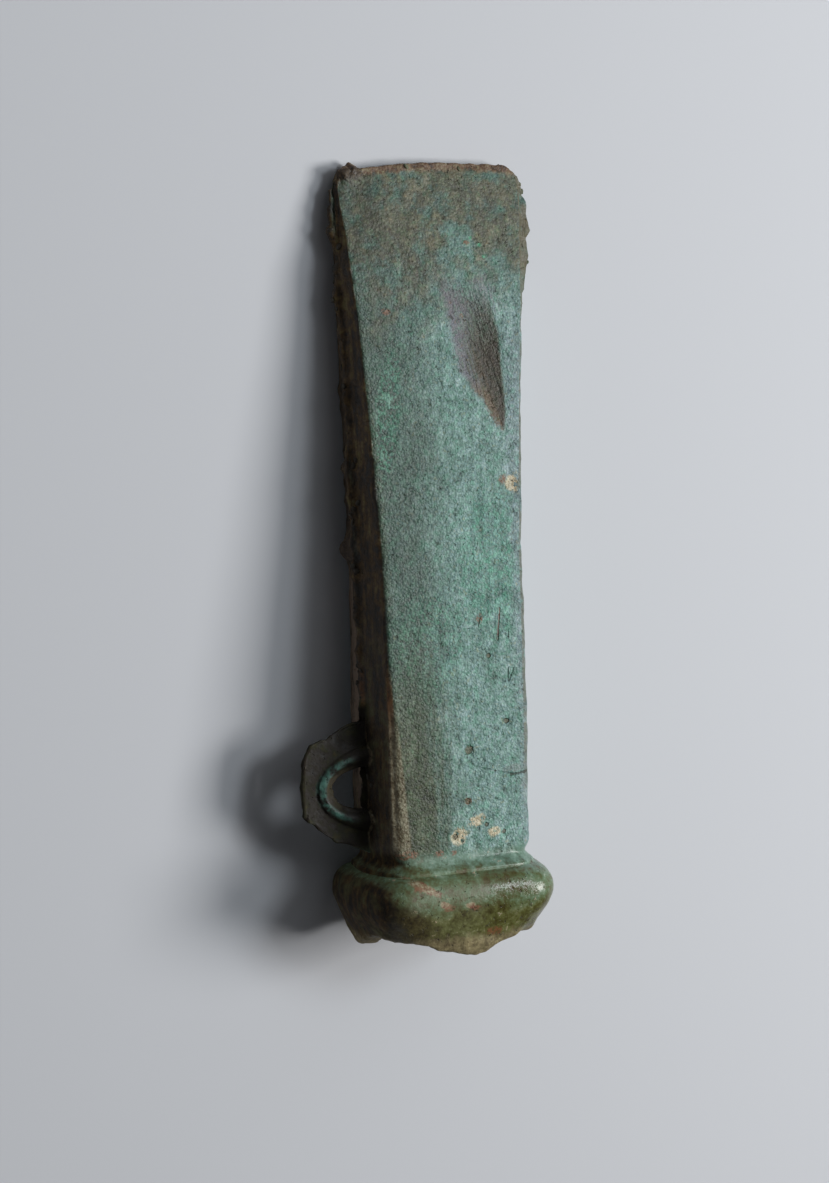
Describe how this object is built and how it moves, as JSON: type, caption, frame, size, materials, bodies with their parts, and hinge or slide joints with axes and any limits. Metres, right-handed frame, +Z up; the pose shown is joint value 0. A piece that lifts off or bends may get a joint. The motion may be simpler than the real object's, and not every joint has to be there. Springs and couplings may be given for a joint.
{
  "type": "bronze age axe head",
  "caption": "Late Bronze Age socketed axe head: long rectangular body, thick collar round the socket, side loop for a lashing, lumpy casting seams and a green patina.",
  "frame": {"origin": "on the surface that the axe head lies on, under the middle of its bounding box", "axes": "+Y runs from the mouth of the socket to the cutting edge, +Z points up out of the front broad face as the head lies on its back, and the loop stands out on the -X side. The casting's own long axis dips 5.1 degrees towards the edge, because it rests on the collar and on the shoulder of the blade."},
  "size_m": [0.041, 0.1226, 0.0243],
  "materials": {
    "bronze": "ancient cast bronze under a mottled green patina, mostly matt, glossier on the collar and loop"
  },
  "bodies": {
    "root": {"axe_head": "bronze"}
  },
  "joints": []
}
